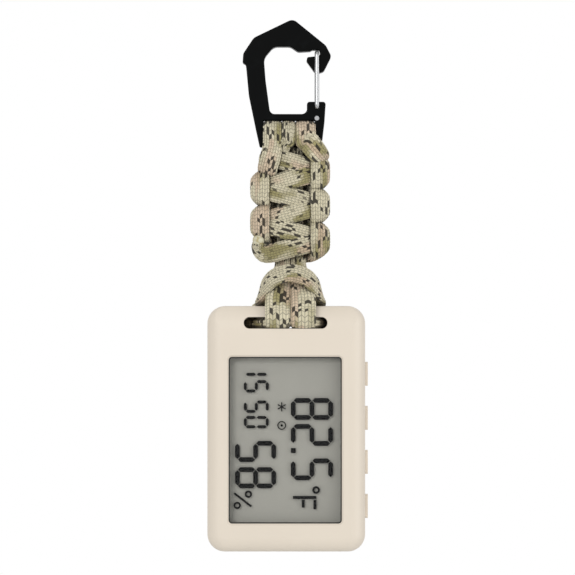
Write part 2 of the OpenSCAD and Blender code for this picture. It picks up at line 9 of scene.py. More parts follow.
import bpy
import numpy as np
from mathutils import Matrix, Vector


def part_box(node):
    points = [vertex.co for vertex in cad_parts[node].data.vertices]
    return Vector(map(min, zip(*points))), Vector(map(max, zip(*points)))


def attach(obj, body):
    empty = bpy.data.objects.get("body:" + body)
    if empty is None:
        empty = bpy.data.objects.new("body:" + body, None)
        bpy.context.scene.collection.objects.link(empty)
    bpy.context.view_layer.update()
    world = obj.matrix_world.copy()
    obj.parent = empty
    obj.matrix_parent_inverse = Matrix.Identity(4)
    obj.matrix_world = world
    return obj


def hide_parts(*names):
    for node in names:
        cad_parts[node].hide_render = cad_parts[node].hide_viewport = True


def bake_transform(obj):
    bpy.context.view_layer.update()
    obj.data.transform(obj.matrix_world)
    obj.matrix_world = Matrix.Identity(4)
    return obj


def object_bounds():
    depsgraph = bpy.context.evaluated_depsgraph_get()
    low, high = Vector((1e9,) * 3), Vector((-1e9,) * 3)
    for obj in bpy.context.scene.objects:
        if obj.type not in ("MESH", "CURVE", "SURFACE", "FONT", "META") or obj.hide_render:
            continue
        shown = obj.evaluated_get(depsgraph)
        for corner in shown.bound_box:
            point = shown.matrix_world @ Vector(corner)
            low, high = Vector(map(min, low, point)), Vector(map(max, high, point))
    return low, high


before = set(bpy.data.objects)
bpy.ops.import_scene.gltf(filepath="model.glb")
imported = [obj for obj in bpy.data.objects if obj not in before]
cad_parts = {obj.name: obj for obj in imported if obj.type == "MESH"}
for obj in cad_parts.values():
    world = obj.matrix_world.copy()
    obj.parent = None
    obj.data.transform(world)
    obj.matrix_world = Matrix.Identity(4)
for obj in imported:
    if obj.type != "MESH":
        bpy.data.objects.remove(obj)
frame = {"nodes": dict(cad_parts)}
CAD_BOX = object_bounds()

bl_info = {
    "name": "Pocket weather meter",
    "version": (1, 0, 0),
    "blender": (4, 5, 0),
    "location": "View3D > Sidebar > Weather meter",
    "description": "Cord, carabiner, case and display of a small hanging weather meter",
    "category": "Object",
}

MM = 0.001
# the carabiner's bar, the play round it and the flattened cord's thickness, in millimetres
BAR_R = 2.3
BAR_GAP = 0.15
CORD_T = 2.3


def span(*nodes):
    """Lowest and highest corners of some CAD nodes, in millimetres."""
    boxes = [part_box(n) for n in nodes]
    low = np.min([np.array(b[0]) for b in boxes], axis=0) / MM
    high = np.max([np.array(b[1]) for b in boxes], axis=0) / MM
    return low, high


# ---------------------------------------------------------------- sizes
class CordSizes(bpy.types.PropertyGroup):
    """Sizes and colours of the cord."""
    width: bpy.props.FloatProperty(
        name="Cord width", description="Width of the flattened cord",
        default=0.0054, unit="LENGTH")
    thickness: bpy.props.FloatProperty(
        name="Cord thickness", description="Thickness of the flattened cord",
        default=0.0023, unit="LENGTH")
    stitch: bpy.props.FloatProperty(
        name="Stitch length", description="Length of one stitch of the cord's braided cover",
        default=0.00092, unit="LENGTH")
    relief: bpy.props.FloatProperty(
        name="Stitch height", description="How far a stitch stands above the grooves round it",
        default=0.0002, unit="LENGTH")
    pale: bpy.props.FloatVectorProperty(
        name="Pale yarn", description="Colour of the pale yarn",
        default=(0.955, 0.92, 0.80), subtype="COLOR_GAMMA")
    olive: bpy.props.FloatVectorProperty(
        name="Olive yarn", description="Colour of the olive stretches",
        default=(0.70, 0.665, 0.465), subtype="COLOR_GAMMA")
    pink: bpy.props.FloatVectorProperty(
        name="Pink yarn", description="Colour of the pinkish stretches",
        default=(0.94, 0.835, 0.73), subtype="COLOR_GAMMA")
    dark: bpy.props.FloatVectorProperty(
        name="Dark yarn", description="Colour of the dark flecks",
        default=(0.13, 0.115, 0.09), subtype="COLOR_GAMMA")


class CaseLooks(bpy.types.PropertyGroup):
    """Colours of the case and the display."""
    case: bpy.props.FloatVectorProperty(
        name="Case", description="Colour of the moulded case",
        default=(0.935, 0.89, 0.825), subtype="COLOR_GAMMA")
    film: bpy.props.FloatVectorProperty(
        name="Display ground", description="Colour of the film behind the display's segments",
        default=(0.695, 0.69, 0.655), subtype="COLOR_GAMMA")
    frame: bpy.props.FloatVectorProperty(
        name="Carabiner", description="Colour of the anodised carabiner",
        default=(0.022, 0.026, 0.026), subtype="COLOR_GAMMA")


# ---------------------------------------------------------------- materials
def linear(colour):
    """An sRGB colour, as #rrggbb or three shares, as linear RGBA."""
    if isinstance(colour, str):
        colour = [int(colour[i:i + 2], 16) / 255 for i in (1, 3, 5)]
    low_high = [c / 12.92 if c <= 0.04045 else ((c + 0.055) / 1.055) ** 2.4 for c in colour]
    return (*low_high, 1.0)


def material(name):
    """An empty node material with its output node."""
    m = bpy.data.materials.new(name)
    m.use_nodes = True
    m.node_tree.nodes.clear()
    return m, m.node_tree, add(m.node_tree, "ShaderNodeOutputMaterial")


def add(tree, kind, inputs=(), **settings):
    """One node: settings are its own properties, inputs its sockets' values or links by name or index."""
    node = tree.nodes.new(kind)
    for key, value in settings.items():
        setattr(node, key, value)
    for key, value in dict(inputs).items():
        if isinstance(value, bpy.types.NodeSocket):
            tree.links.new(value, node.inputs[key])
        else:
            node.inputs[key].default_value = value
    return node


def calc(tree, operation, *values):
    """A math node's result."""
    node = add(tree, "ShaderNodeMath", dict(enumerate(values)), operation=operation)
    return node.outputs[0]


def blend_colour(tree, share, one, other):
    """Colour that goes from one to other as share goes from 0 to 1."""
    node = add(tree, "ShaderNodeMix", {0: share, 6: one, 7: other}, data_type="RGBA")
    return node.outputs[2]


def noise(tree, scale, detail=2.0, where=None):
    """Noise by object position, or by where; scale is in waves per metre on object position."""
    if where is None:
        where = add(tree, "ShaderNodeTexCoord").outputs["Object"]
    node = add(tree, "ShaderNodeTexNoise", {"Vector": where, "Scale": scale, "Detail": detail})
    return node.outputs["Fac"]


def step_up(tree, value, low, high):
    """0 below low, 1 above high, smooth between."""
    node = add(tree, "ShaderNodeMapRange", {0: value, 1: low, 2: high, 3: 0.0, 4: 1.0},
               interpolation_type="SMOOTHSTEP")
    return node.outputs[0]


def bump(tree, height, distance):
    """A bump of that height in metres."""
    return add(tree, "ShaderNodeBump", {"Height": height, "Distance": distance, "Strength": 1.0}).outputs[0]


def surface(tree, out, inputs):
    """The principled shader, linked to the output."""
    node = add(tree, "ShaderNodeBsdfPrincipled", inputs)
    tree.links.new(node.outputs[0], out.inputs["Surface"])
    return node


def cord_nylon(sizes):
    """Braided nylon cord: pale yarn with olive and pinkish stretches and dark flecks in spirals.

    Its coordinates count stitches along the cord and columns round it.
    """
    m, t, out = material("cord_nylon")
    uv = add(t, "ShaderNodeUVMap", uv_map="stitches").outputs[0]
    parts = add(t, "ShaderNodeSeparateXYZ", {0: uv}).outputs
    along, round_it = parts[0], parts[1]
    column = calc(t, "FLOOR", round_it)
    across = calc(t, "SUBTRACT", calc(t, "FRACT", round_it), 0.5)
    odd = calc(t, "FLOORED_MODULO", column, 2.0)
    lean = calc(t, "SUBTRACT", 1.0, calc(t, "MULTIPLY", odd, 2.0))
    slanted = calc(t, "ADD", along, calc(t, "MULTIPLY", calc(t, "MULTIPLY", across, lean), 0.5))
    row = calc(t, "FLOOR", slanted)
    down = calc(t, "SUBTRACT", calc(t, "FRACT", slanted), 0.5)
    # one number for each stitch, and one for each stretch of the cord
    cell = add(t, "ShaderNodeCombineXYZ", {0: row, 1: column, 2: 0.5}).outputs[0]
    own = add(t, "ShaderNodeTexWhiteNoise", {"Vector": cell}, noise_dimensions="3D").outputs["Value"]
    place = add(t, "ShaderNodeCombineXYZ",
                {0: calc(t, "MULTIPLY", row, 0.045), 1: calc(t, "MULTIPLY", column, 0.09), 2: 0.0}).outputs[0]
    stretch = noise(t, 1.6, 1.0, place)
    place_2 = add(t, "ShaderNodeVectorMath", {0: place, 1: (37.1, 11.3, 5.0)}, operation="ADD").outputs[0]
    stretch_2 = noise(t, 1.9, 1.0, place_2)
    place_3 = add(t, "ShaderNodeVectorMath", {0: place, 1: (71.7, 5.9, 9.0)}, operation="ADD").outputs[0]
    stretch_3 = noise(t, 2.3, 1.0, place_3)
    # dark yarns wind round the cord: their stitches lie on spirals
    half_column = calc(t, "MULTIPLY", calc(t, "SUBTRACT", column, odd), 0.5)
    turn = calc(t, "FLOORED_MODULO", calc(t, "ADD", row, calc(t, "MULTIPLY", half_column, lean)), 8.0)
    yarn = calc(t, "LESS_THAN", turn, 1.5)
    dotted = calc(t, "MULTIPLY", yarn, calc(t, "GREATER_THAN", calc(t, "ADD", own, stretch_3), 1.0))
    stray = calc(t, "GREATER_THAN", own, 0.975)
    flecks = calc(t, "MULTIPLY", calc(t, "MAXIMUM", dotted, stray), step_up(t, stretch_3, 0.36, 0.46))
    pale, olive = linear(sizes.pale), linear(sizes.olive)
    pink, dark = linear(sizes.pink), linear(sizes.dark)
    colour = blend_colour(t, step_up(t, stretch, 0.50, 0.60), pale, olive)
    colour = blend_colour(t, calc(t, "MULTIPLY", step_up(t, stretch_2, 0.53, 0.60), 0.75), colour, pink)
    colour = blend_colour(t, calc(t, "MULTIPLY", own, 0.26), colour, linear("#8f8663"))
    colour = blend_colour(t, calc(t, "MULTIPLY", flecks, 0.93), colour, dark)
    # painted shade: the colour darkens towards dark brown in the grooves between stitches and between rows
    edge_x = calc(t, "ABSOLUTE", calc(t, "MULTIPLY", across, 2.0))
    edge_y = calc(t, "ABSOLUTE", calc(t, "MULTIPLY", down, 2.0))
    between = calc(t, "MULTIPLY", step_up(t, edge_y, 0.7, 1.0), 0.8)
    groove_shade = calc(t, "MAXIMUM", step_up(t, edge_x, 0.72, 1.0), between)
    colour = blend_colour(t, calc(t, "MULTIPLY", groove_shade, 0.72), colour, linear("#3f3728"))
    # painted shade: where an ambient occlusion node finds little open sky, where strands meet, the colour
    # darkens towards dark brown
    open_sky = add(t, "ShaderNodeAmbientOcclusion", {"Distance": 0.0022}, samples=8).outputs["AO"]
    crease_shade = calc(t, "SUBTRACT", 1.0, step_up(t, open_sky, 0.30, 0.82))
    colour = blend_colour(t, calc(t, "MULTIPLY", crease_shade, 0.8), colour, linear("#2b251b"))
    # fine yarn filaments along each stitch
    filaments = add(t, "ShaderNodeTexWave", {"Vector": uv, "Scale": 3.2, "Distortion": 1.2},
                    bands_direction="Y").outputs["Fac"]
    surface(t, out, {"Base Color": colour, "Roughness": 0.72, "IOR": 1.53, "Specular IOR Level": 0.35,
                     "Sheen Weight": 0.15, "Sheen Roughness": 0.5,
                     "Normal": bump(t, filaments, 0.00003)})
    return m


def melted_nylon():
    """Cord end melted to a smooth bead: pale nylon, slightly yellowed where it burned."""
    m, t, out = material("melted_nylon")
    patch = noise(t, 900.0, 2.0)
    colour = blend_colour(t, step_up(t, patch, 0.45, 0.7), linear("#dcd8bd"), linear("#b7a878"))
    surface(t, out, {"Base Color": colour, "Roughness": 0.42, "IOR": 1.53,
                     "Normal": bump(t, noise(t, 1500.0), 0.00008)})
    return m


def anodised_aluminium(looks):
    """Black anodised aluminium with a fine satin grain and faintly worn patches."""
    m, t, out = material("anodised_aluminium")
    grain = noise(t, 9000.0, 2.0)
    patch = noise(t, 260.0, 3.0)
    colour = blend_colour(t, step_up(t, patch, 0.55, 0.8), linear(looks.frame), linear("#0c0e0f"))
    rough = calc(t, "ADD", calc(t, "MULTIPLY", patch, 0.10), 0.30)
    surface(t, out, {"Base Color": colour, "Roughness": rough, "IOR": 1.5, "Specular IOR Level": 0.08,
                     "Normal": bump(t, grain, 0.000006)})
    return m


def drawn_steel(name="drawn_steel", tint="#c9cacb", rough=0.25):
    """Bright drawn stainless steel: fine lines along the wire."""
    m, t, out = material(name)
    where = add(t, "ShaderNodeMapping", {"Vector": add(t, "ShaderNodeTexCoord").outputs["Object"],
                                         "Scale": (9000.0, 9000.0, 400.0)}).outputs[0]
    lines = noise(t, 1.0, 2.0, where)
    value = calc(t, "ADD", calc(t, "MULTIPLY", lines, 0.14), rough)
    surface(t, out, {"Base Color": linear(tint), "Metallic": 1.0, "Roughness": value,
                     "Normal": bump(t, lines, 0.000004)})
    return m


def moulded_plastic(name, colour, rough=0.42):
    """Moulded ABS with a fine spark-eroded texture and a faint change of tone."""
    m, t, out = material(name)
    patch = noise(t, 60.0, 2.0)
    texture = noise(t, 4200.0, 2.0)
    base = linear(colour)
    darker = tuple(c * 0.95 for c in base[:3]) + (1.0,)
    value = calc(t, "ADD", calc(t, "MULTIPLY", texture, 0.12), rough - 0.06)
    surface(t, out, {"Base Color": blend_colour(t, patch, base, darker), "Roughness": value,
                     "IOR": 1.53, "Normal": bump(t, texture, 0.000012)})
    return m


def clear_sheet(name, tint="#ffffff", share=1.0):
    """Clear acrylic or glass: what is behind shows through, and the surface reflects by its angle."""
    m, t, out = material(name)
    see = add(t, "ShaderNodeBsdfTransparent", {"Color": linear(tint)})
    shine = add(t, "ShaderNodeBsdfGlossy", {"Color": (1, 1, 1, 1), "Roughness": 0.06})
    angle = add(t, "ShaderNodeFresnel", {"IOR": 1.46})
    amount = calc(t, "MULTIPLY", angle.outputs[0], share)
    mixed = add(t, "ShaderNodeMixShader", {0: amount, 1: see.outputs[0], 2: shine.outputs[0]})
    t.links.new(mixed.outputs[0], out.inputs["Surface"])
    return m


def dull(name, colour, rough=0.6, other=None, scale=1500.0, height=0.00001, shine=0.5):
    """A plain part with slight mottling between two close tones."""
    m, t, out = material(name)
    spots = noise(t, scale, 2.0)
    base = linear(colour)
    second = linear(other) if other else tuple(c * 0.86 for c in base[:3]) + (1.0,)
    surface(t, out, {"Base Color": blend_colour(t, spots, base, second), "Roughness": rough,
                     "Specular IOR Level": shine, "Normal": bump(t, spots, height)})
    return m


# ---------------------------------------------------------------- meshes
def mesh_object(name, points, faces, mat, uv=None, smooth=True):
    """A mesh object in metres from points in millimetres, with its material."""
    mesh = bpy.data.meshes.new(name)
    mesh.from_pydata((np.asarray(points) * MM).tolist(), [], faces)
    if uv is not None:
        layer = mesh.uv_layers.new(name="stitches")
        layer.data.foreach_set("uv", np.asarray(uv, dtype=np.float32).ravel())
    mesh.materials.append(mat)
    mesh.polygons.foreach_set("use_smooth", [smooth] * len(mesh.polygons))
    mesh.update()
    obj = bpy.data.objects.new(name, mesh)
    bpy.context.collection.objects.link(obj)
    return obj


def through(rows):
    """Rows of x, y, z and further values, on a centripetal curve through them, evenly spaced."""
    rows = np.array(rows, float)
    ends = np.vstack([2 * rows[0] - rows[1], rows, 2 * rows[-1] - rows[-2]])
    gaps = np.sqrt(np.linalg.norm(np.diff(ends[:, :3], axis=0), axis=1)) + 1e-9
    dense = []
    for i in range(1, len(ends) - 2):
        a, b, c, d = ends[i - 1:i + 3]
        t1 = gaps[i - 1]
        t2 = t1 + gaps[i]
        t3 = t2 + gaps[i + 1]
        t = np.linspace(t1, t2, 24, endpoint=False)[:, None]
        ab = (t1 - t) / t1 * a + t / t1 * b
        bc = (t2 - t) / (t2 - t1) * b + (t - t1) / (t2 - t1) * c
        cd = (t3 - t) / (t3 - t2) * c + (t - t2) / (t3 - t2) * d
        abc = (t2 - t) / t2 * ab + t / t2 * bc
        bcd = (t3 - t) / (t3 - t1) * bc + (t - t1) / (t3 - t1) * cd
        dense.append((t2 - t) / (t2 - t1) * abc + (t - t1) / (t2 - t1) * bcd)
    dense.append(ends[-2][None, :])
    dense = np.vstack(dense)
    length = np.concatenate([[0], np.cumsum(np.linalg.norm(np.diff(dense[:, :3], axis=0), axis=1))])
    n = max(4, int(round(length[-1] / STEP)))
    at = np.linspace(0, length[-1], n + 1)
    return np.column_stack([np.interp(at, length, dense[:, k]) for k in range(dense.shape[1])]), at


# columns of stitches round the cord, points round it, and millimetres between its rings
COLUMNS = 18
ROUND = 72
STEP = 0.27


def section():
    """A flattened oval's points, evenly spaced round it, each from -1 to 1 on both axes."""
    angle = np.linspace(0, 2 * np.pi, 2001)
    power = 2 / 2.5
    x = np.sign(np.cos(angle)) * np.abs(np.cos(angle)) ** power
    y = np.sign(np.sin(angle)) * np.abs(np.sin(angle)) ** power
    length = np.concatenate([[0], np.cumsum(np.hypot(np.diff(x * 2.3), np.diff(y)))])
    at = np.linspace(0, length[-1], ROUND, endpoint=False)
    return np.interp(at, length, x), np.interp(at, length, y)


def strand(name, rows, sizes, mat, offset=0.0, part=None):
    """A flattened braided cord swept along a path.

    Each row is x, y, z, the way the flat face looks (three numbers), width and thickness. The
    cover is a lattice of slanted stitches: a stitch's height falls off as 1 - (2p)^2 across its
    column and 1 - |2q|^3 along it.
    part is a pair of shares of the length to keep.
    """
    data, along = through(rows)
    centre, look, wide, thick = data[:, :3], data[:, 3:6], data[:, 6], data[:, 7]
    tangent = np.gradient(centre, axis=0)
    tangent /= np.linalg.norm(tangent, axis=1)[:, None]
    side = np.cross(look, tangent)
    side /= np.linalg.norm(side, axis=1)[:, None] + 1e-12
    up = np.cross(tangent, side)
    cx, cy = section()
    ring = (centre[:, None, :]
            + side[:, None, :] * (wide[:, None] / 2 * cx)[:, :, None]
            + up[:, None, :] * (thick[:, None] / 2 * cy)[:, :, None])
    edge = np.roll(ring, -1, axis=1) - np.roll(ring, 1, axis=1)
    out = np.cross(edge, tangent[:, None, :])
    out /= np.linalg.norm(out, axis=2)[:, :, None] + 1e-12
    inward = np.einsum("ijk,ijk->ij", out, ring - centre[:, None, :]).mean()
    if inward < 0:
        out = -out
    v = np.arange(ROUND) / ROUND * COLUMNS
    u = along / (sizes.stitch / MM) + offset
    column = np.floor(v)
    lean = 1 - 2 * (column % 2)
    p = v - column - 0.5
    slanted = u[:, None] + (p * lean * 0.5)[None, :]
    q = slanted - np.floor(slanted) - 0.5
    height = (1 - np.abs(2 * p)[None, :] ** 2.2) * (1 - 0.75 * np.abs(2 * q) ** 3)
    ring = ring + out * (height * sizes.relief / MM)[:, :, None]
    first, last = 0, len(ring) - 1
    if part:
        first, last = [int(round(share * (len(ring) - 1))) for share in part]
    ring = ring[first:last + 1]
    u = u[first:last + 1]
    n = len(ring)
    points = ring.reshape(-1, 3)
    i, k = np.meshgrid(np.arange(n - 1), np.arange(ROUND), indexing="ij")
    k2 = (k + 1) % ROUND
    corners = [i * ROUND + k, i * ROUND + k2, (i + 1) * ROUND + k2, (i + 1) * ROUND + k]
    quads = np.stack(corners, axis=-1).reshape(-1, 4)
    column_width = COLUMNS / ROUND
    uv = np.stack([
        np.stack([u[i], k * column_width], -1), np.stack([u[i], (k + 1) * column_width], -1),
        np.stack([u[i + 1], (k + 1) * column_width], -1), np.stack([u[i + 1], k * column_width], -1)],
        axis=2).reshape(-1, 2)
    a, b, d = points[quads[:, 0]], points[quads[:, 1]], points[quads[:, 3]]
    facing = np.einsum("ij,ij->i", np.cross(b - a, d - a),
                       a - np.repeat(centre[first:last], ROUND, axis=0)).sum()
    faces = quads.tolist()
    cap_0 = list(range(ROUND))[::-1]
    cap_1 = [(n - 1) * ROUND + j for j in range(ROUND)]
    cap_uv = [(u[0], j * column_width) for j in cap_0] + [(u[-1], j * column_width) for j in range(ROUND)]
    if facing < 0:
        faces = quads[:, ::-1].tolist()
        uv = uv.reshape(-1, 4, 2)[:, ::-1].reshape(-1, 2)
        cap_0, cap_1 = cap_0[::-1], cap_1[::-1]
        cap_uv = [(u[0], j * column_width) for j in cap_0]
        cap_uv += [(u[-1], (j % ROUND) * column_width) for j in cap_1]
    uv = np.vstack([uv, np.array(cap_uv)])
    return mesh_object(name, points, faces + [cap_0, cap_1], mat, uv)


def signed_area(points):
    """Area inside a flat outline, positive when it runs anticlockwise."""
    x, z = points[:, 0], points[:, 1]
    return 0.5 * np.sum(x * np.roll(z, -1) - np.roll(x, -1) * z)


def rounded_outline(corners):
    """Points and outward normals of a polygon whose corners (x, z, radius) are rounded by arcs."""
    corners = np.array(corners, float)
    area = signed_area(corners)
    points, normals = [], []
    for i in range(len(corners)):
        a, p, b = corners[i - 1, :2], corners[i, :2], corners[(i + 1) % len(corners), :2]
        r = corners[i, 2]
        u = (a - p) / np.linalg.norm(a - p)
        v = (b - p) / np.linalg.norm(b - p)
        half = math.acos(np.clip(u @ v, -1, 1)) / 2
        c = p + (u + v) / np.linalg.norm(u + v) * r / math.sin(half)
        s = p + u * r / math.tan(half) - c
        e = p + v * r / math.tan(half) - c
        a0 = math.atan2(s[1], s[0])
        turn = (math.atan2(e[1], e[0]) - a0 + 3 * math.pi) % (2 * math.pi) - math.pi
        n = max(3, math.ceil(abs(turn) / math.radians(6)))
        convex = (turn > 0) == (area > 0)
        for k in range(n + 1):
            d = np.array([math.cos(a0 + turn * k / n), math.sin(a0 + turn * k / n)])
            points.append(c + r * d)
            normals.append(d if convex else -d)
    return np.array(points), np.array(normals)


def plate(name, corners, y0, y1, round_off, mat):
    """A flat plate cut to an outline, with both long edges rounded.

    Going round the edge by the angle a, the outline moves in by r (1 - sin a) and the side stands
    at r cos a from the face.
    """
    points, normals = rounded_outline(corners)
    steps = 6
    # the flat faces' border lies a little further in than the rounding
    cap = 1.06 * round_off
    rings = []
    for a in np.linspace(0, math.pi / 2, steps + 1):
        rings.append((round_off * (1 - math.sin(a)), y0 + round_off * (1 - math.cos(a))))
    rings.insert(0, (cap, y0))
    for a in np.linspace(math.pi / 2, 0, steps + 1):
        rings.append((round_off * (1 - math.sin(a)), y1 - round_off * (1 - math.cos(a))))
    rings.append((cap, y1))
    rows = []
    for inset, y in rings:
        flat = points - normals * inset
        rows.append(np.column_stack([flat[:, 0], np.full(len(flat), y), flat[:, 1]]))
    n = len(points)
    faces = []
    for i in range(len(rows) - 1):
        for k in range(n):
            k2 = (k + 1) % n
            faces.append([i * n + k, i * n + k2, (i + 1) * n + k2, (i + 1) * n + k])
    front = list(range(n))
    back = [(len(rows) - 1) * n + k for k in range(n)][::-1]
    faces += [front[::-1], back[::-1]]
    if signed_area(points) > 0:
        faces = [f[::-1] for f in faces]
    return mesh_object(name, np.vstack(rows), faces, mat)


def lathe(name, profile, origin, axis, mat, n=48):
    """A closed form of revolution: profile rows are distance along the axis and radius."""
    axis = np.array(axis, float)
    axis /= np.linalg.norm(axis)
    helper = np.array([0.0, 0.0, 1.0]) if abs(axis[2]) < 0.9 else np.array([1.0, 0.0, 0.0])
    one = np.cross(helper, axis)
    one /= np.linalg.norm(one)
    two = np.cross(axis, one)
    angle = np.linspace(0, 2 * np.pi, n, endpoint=False)
    circle = np.cos(angle)[:, None] * one + np.sin(angle)[:, None] * two
    points = [np.array(origin) + axis * d + circle * r for d, r in profile]
    faces = []
    for i in range(len(profile) - 1):
        for k in range(n):
            k2 = (k + 1) % n
            faces.append([i * n + k, i * n + k2, (i + 1) * n + k2, (i + 1) * n + k])
    faces += [list(range(n))[::-1], [(len(profile) - 1) * n + k for k in range(n)]]
    return mesh_object(name, np.vstack(points), faces, mat)


def rim(name, low, high, width, round_off, mat):
    """A closed rectangular frame round the display's edge: outer and inner loops, joined front and back."""
    def loop(inset, y):
        x0, x1 = low[0] + inset, high[0] - inset
        z0, z1 = low[2] + inset, high[2] - inset
        r = round_off
        points = []
        arcs = ((x1 - r, z1 - r, 0), (x0 + r, z1 - r, 90), (x0 + r, z0 + r, 180), (x1 - r, z0 + r, 270))
        for cx, cz, a0 in arcs:
            for a in np.radians(np.linspace(a0, a0 + 90, 5)):
                points.append((cx + r * math.cos(a), y, cz + r * math.sin(a)))
        return points
    rings = [loop(0, low[1]), loop(0, high[1]), loop(width, high[1]), loop(width, low[1])]
    n = len(rings[0])
    faces = []
    for i in range(4):
        j = (i + 1) % 4
        for k in range(n):
            k2 = (k + 1) % n
            faces.append([i * n + k, i * n + k2, j * n + k2, j * n + k])
    return mesh_object(name, np.vstack(rings), faces, mat, smooth=False)


# ---------------------------------------------------------------- carabiner
# how far the crossbar's underside comes down over the tops of the strands
CROSSBAR_DROP = 0.4


def bar_height():
    """Height of the carabiner's bar, from the cord that goes over it."""
    return span("bar_loops")[1][2] - BAR_R - BAR_GAP - CORD_T


def clip_corners():
    """The carabiner's outline from the front, as x, z and corner radius."""
    top = span("bar_loops")[1][2] + BAR_GAP - CROSSBAR_DROP
    return [
        (1.9, 8.1, 2.2), (11.3, 0.5, 2.4), (12.9, -2.6, 1.6), (10.7, -7.0, 1.3),
        (8.4, -7.7, 1.2), (5.75, -4.0, 0.6), (6.0, -2.85, 0.5), (9.6, -2.5, 0.62),
        (9.6, -0.85, 0.62), (7.4, -0.85, 0.5), (6.8, -1.2, 0.5), (3.3, -1.4, 1.6),
        (1.2, 0.1, 2.4), (-3.6, 0.1, 2.6), (-6.4, -3.2, 3.2), (-5.9, -9.5, 8),
        (-4.6, -19.1, 1.5), (5.9, -19.1, 1.5), (5.9, -15.6, 0.8), (11.3, -15.6, 0.8),
        (10.9, -21.6, 6), (10.1, -28.4, 1), (8.3, -28.6, 0.48), (8.3, top, 0.5),
        (-6.6, top, 0.5), (-6.6, -28.6, 0.47), (-7.6, -28.6, 0.47), (-8.7, -23.6, 8),
        (-10.7, -13.9, 12), (-11.4, -6.4, 1.6), (-11.6, -4.9, 0.62), (-12.5, -4.6, 0.62),
        (-12.3, -1.8, 2), (-9.3, 2.7, 3)]


class METER_OT_carabiner(bpy.types.Operator):
    """Black anodised frame with rounded edges, its bar, and the bright wire gate"""
    bl_idname = "meter.carabiner"
    bl_label = "Carabiner"

    def execute(self, context):
        black = anodised_aluminium(context.scene.meter_case)
        low, high = span("carabiner_frame")
        frame_plate = plate("carabiner", clip_corners(), low[1], high[1], 0.4, black)
        length, left, chamfer = 16.5, -7.4, 0.3
        end_r = BAR_R - chamfer
        profile = [(0, end_r), (chamfer, BAR_R), (length - chamfer, BAR_R), (length, end_r)]
        bar = lathe("carabiner_bar", profile, (left, 0, bar_height()), (1, 0, 0), black)
        for piece in (frame_plate, bar):
            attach(piece, "carabiner")
        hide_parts("carabiner_frame")
        steel = drawn_steel()
        for node in ("gate_wire", "gate_wire_tail"):
            dress(node, steel)
        return {"FINISHED"}


def dress(node, mat):
    """Gives a CAD node its finish."""
    obj = frame["nodes"][node]
    for i in range(len(obj.material_slots)):
        obj.material_slots[i].material = mat


# ---------------------------------------------------------------- cord
WEAVE_LOW, WEAVE_HIGH = span("cobra_weave")
WEAVE_X = (WEAVE_LOW[0] + WEAVE_HIGH[0]) / 2 + 0.2
APEX_TOP = WEAVE_HIGH[2] - 5.2
PITCH = 4.9


def apex(k):
    """Height of the zigzag's turn number k: even ones are on the right."""
    return APEX_TOP - PITCH * k


def ear_rows(s, z, w, t):
    """A cord's rows over a turn of the zigzag on side s: from behind, down over it, and behind again."""
    x = WEAVE_X
    return [
        (x + s * 2.2, 3.4, z + 3.4, 0, 1, 0.1, w, t - 0.3),
        (x + s * 5.6, 2.4, z + 4.5, s * 0.3, 0.6, 0.7, w - 0.4, t - 0.5),
        (x + s * 7.9, -0.5, z + 4.3, s * 0.65, -0.3, 0.75, w - 0.3, t - 0.2),
        (x + s * 8.5, -2.5, z + 2.9, s * 0.42, -0.88, 0.3, w, t),
        (x + s * 8.6, -3.2, z, s * 0.32, -0.95, 0, w + 0.1, t),
        (x + s * 8.5, -2.5, z - 2.9, s * 0.42, -0.88, -0.3, w, t),
        (x + s * 7.9, -0.5, z - 4.3, s * 0.65, -0.3, -0.75, w - 0.3, t - 0.2),
        (x + s * 5.6, 2.4, z - 4.5, s * 0.3, 0.6, -0.7, w - 0.4, t - 0.5),
        (x + s * 2.2, 3.4, z - 3.4, 0, 1, -0.1, w, t - 0.3),
    ]


def over_bar(x0, x1, bar_z, w, t):
    """Rows from the braid's back up over the carabiner's bar to its front."""
    r = BAR_R + BAR_GAP + t / 2
    rows = []
    past = math.radians(20)
    for a in np.radians([-20, 0, 25, 50, 75, 90, 105, 130, 155, 180, 200]):
        share = (a + past) / (math.pi + 2 * past)
        y, z = r * math.cos(a), r * math.sin(a)
        rows.append((x0 + (x1 - x0) * share, y, bar_z + z, 0, math.cos(a), math.sin(a), w, t))
    return rows


def zigzag_rows(w, t):
    """Rows of the strand that crosses the front six times, after its first turn behind the left strand."""
    x = WEAVE_X
    rows = []
    for k in range(6):
        s = 1 if k % 2 == 0 else -1
        z0 = apex(k - 1) - 0.75
        z1 = apex(k) + 0.75
        if k > 0:
            rows.append((x - s * 6.4, -1.8, z0, -s * 0.3, -1, 0, w - 0.4, t))
        for share, y in ((0.12, -2.9), (0.3, -3.3), (0.5, -3.35), (0.7, -3.05), (0.88, -2.4)):
            rows.append((x - s * 6.2 + s * 12.4 * share, y, z0 + (z1 - z0) * share, 0, -1, 0, w, t))
        if k < 5:
            rows.append((x + s * 6.7, -1.4, z1 - 0.1, s * 0.4, -0.9, 0, w - 0.4, t))
            rows.append((x + s * 8.5, -0.1, apex(k), s, -0.2, 0, w - 1.1, t + 0.4))
    return rows


